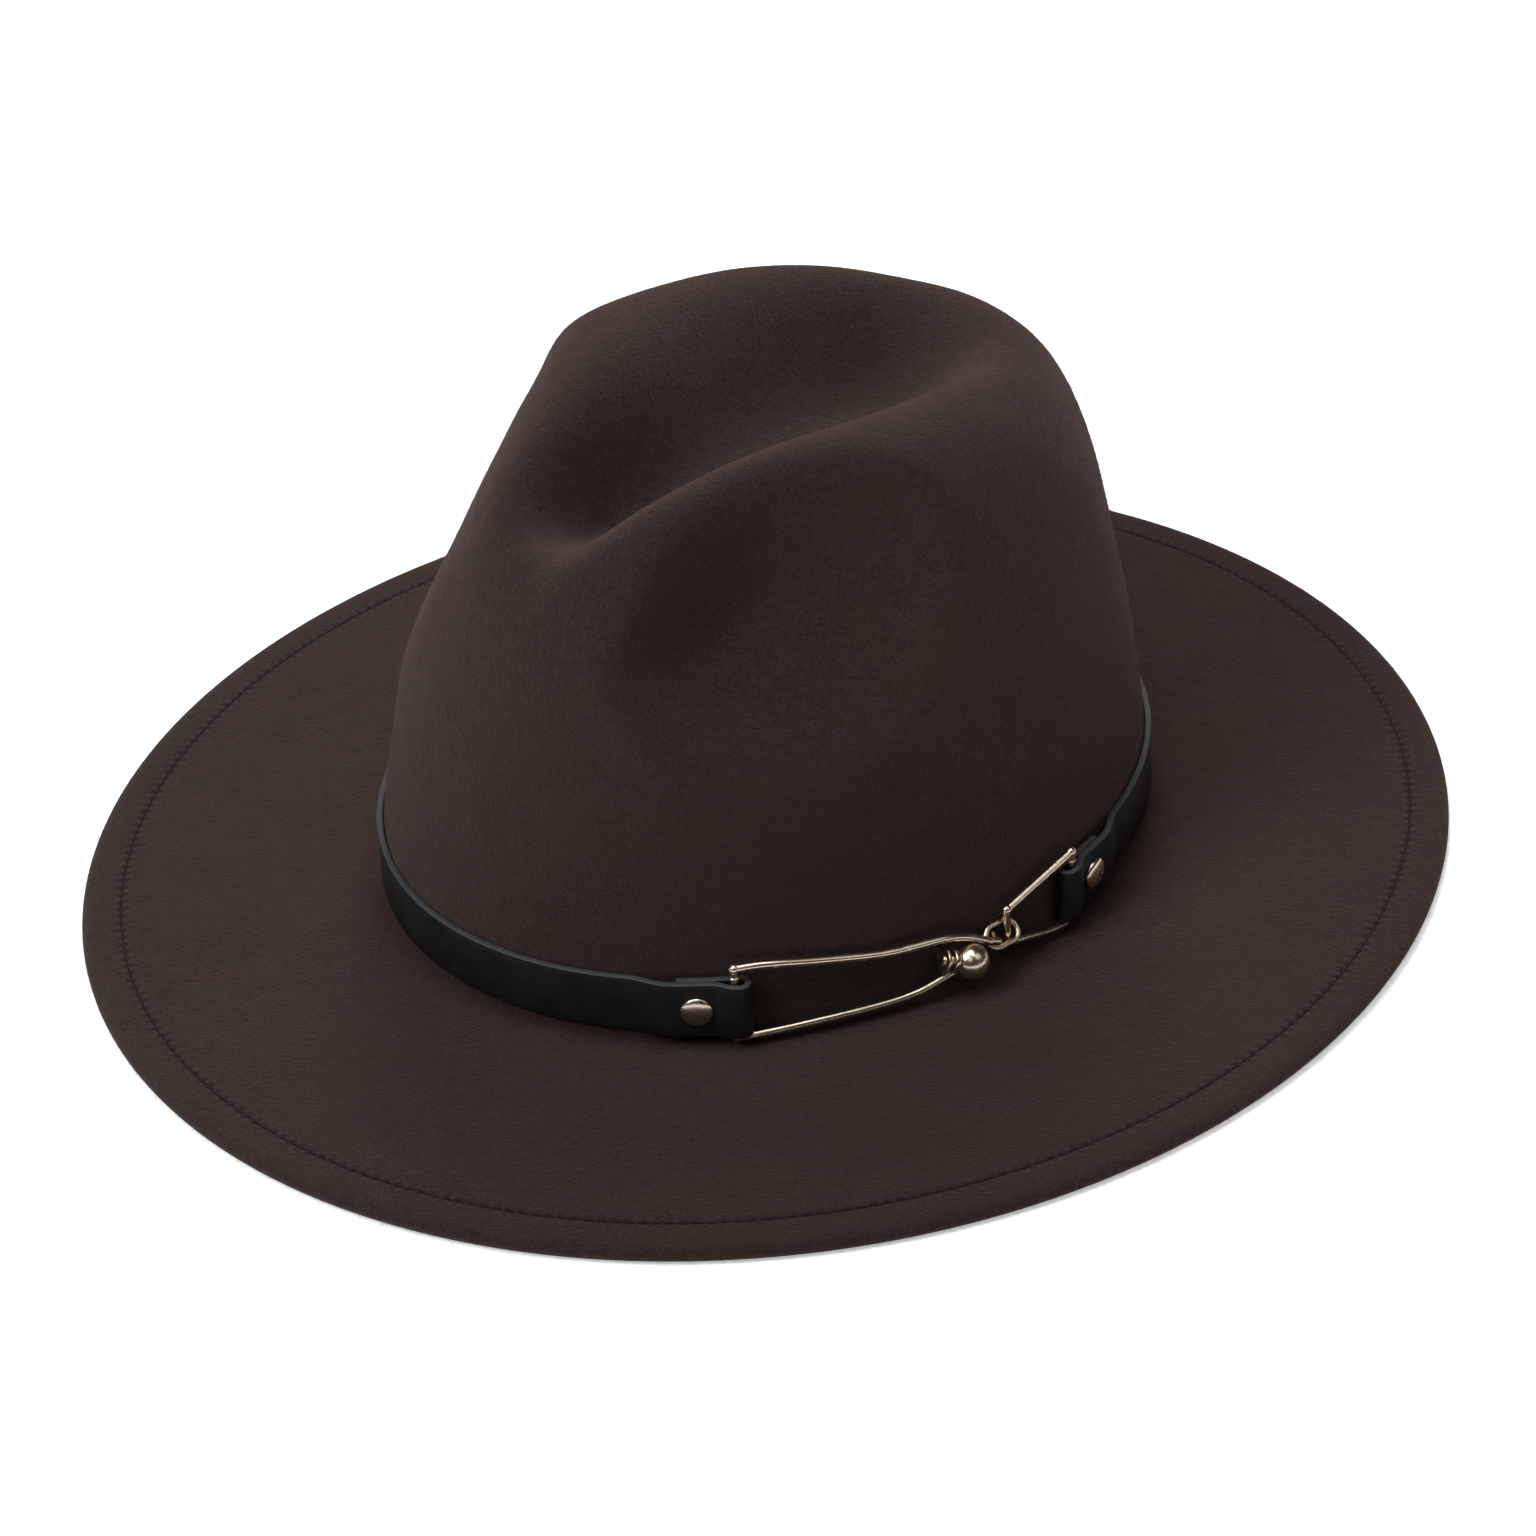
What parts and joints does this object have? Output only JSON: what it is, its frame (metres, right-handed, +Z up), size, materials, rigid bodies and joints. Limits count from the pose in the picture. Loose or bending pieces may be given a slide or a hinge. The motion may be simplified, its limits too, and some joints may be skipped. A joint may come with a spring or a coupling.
{
  "type": "fedora hat",
  "caption": "Wide-brimmed felt fedora with a teardrop crease, a leather band and a hinged wire hook clasp.",
  "frame": {"origin": "centre of the head opening, on the plane the brim's edge rests on", "axes": "+Z up out of the crown, -Y towards the front of the hat, +X towards the wearer's left, where the clasp is"},
  "size_m": [0.3246, 0.3548, 0.1319],
  "materials": {
    "felt": "matte",
    "edge_wire": "matte",
    "edge_sleeve": "satin",
    "thread": "matte",
    "sweatband": "matte",
    "reed": "matte",
    "ribbon": "satin",
    "leather": "satin",
    "gold": "polished"
  },
  "bodies": {
    "hat": {"felt_body": "felt", "brim_wire": "edge_wire", "brim_wire_sleeve": "edge_sleeve", "brim_stitching": "thread", "sweatband": "sweatband", "sweatband_reed": "reed", "sweatband_stitching": "thread", "sweatband_bow": "ribbon", "hat_band": "leather", "rivet_caps": "gold", "rivet_posts": "gold"},
    "front_frame": {"front_buckle_frame": "gold", "clasp_ball": "gold", "clasp_washer": "gold"},
    "rear_frame": {"rear_buckle_frame": "gold"},
    "link": {"ring_link": "gold"}
  },
  "joints": [
    {"name": "front_frame_hinge", "type": "hinge", "parent": "hat", "child": "front_frame", "pos_m": [0.06821, -0.06669, 0.0154], "axis": [0, 0, -1], "range_deg": [0, 70]},
    {"name": "rear_frame_hinge", "type": "hinge", "parent": "hat", "child": "rear_frame", "pos_m": [0.08641, 0.02287, 0.0154], "axis": [0, 0, 1], "range_deg": [0, 42]},
    {"name": "link_hinge", "type": "hinge", "parent": "rear_frame", "child": "link", "pos_m": [0.08785, 0.0008, 0.0148], "axis": [0, 0, 1], "range_deg": [0, 35]}
  ],
  "couplings": [
    {"joint": "rear_frame_hinge", "follows": "front_frame_hinge", "ratio": 0.6},
    {"joint": "link_hinge", "follows": "front_frame_hinge", "ratio": 0.5}
  ]
}
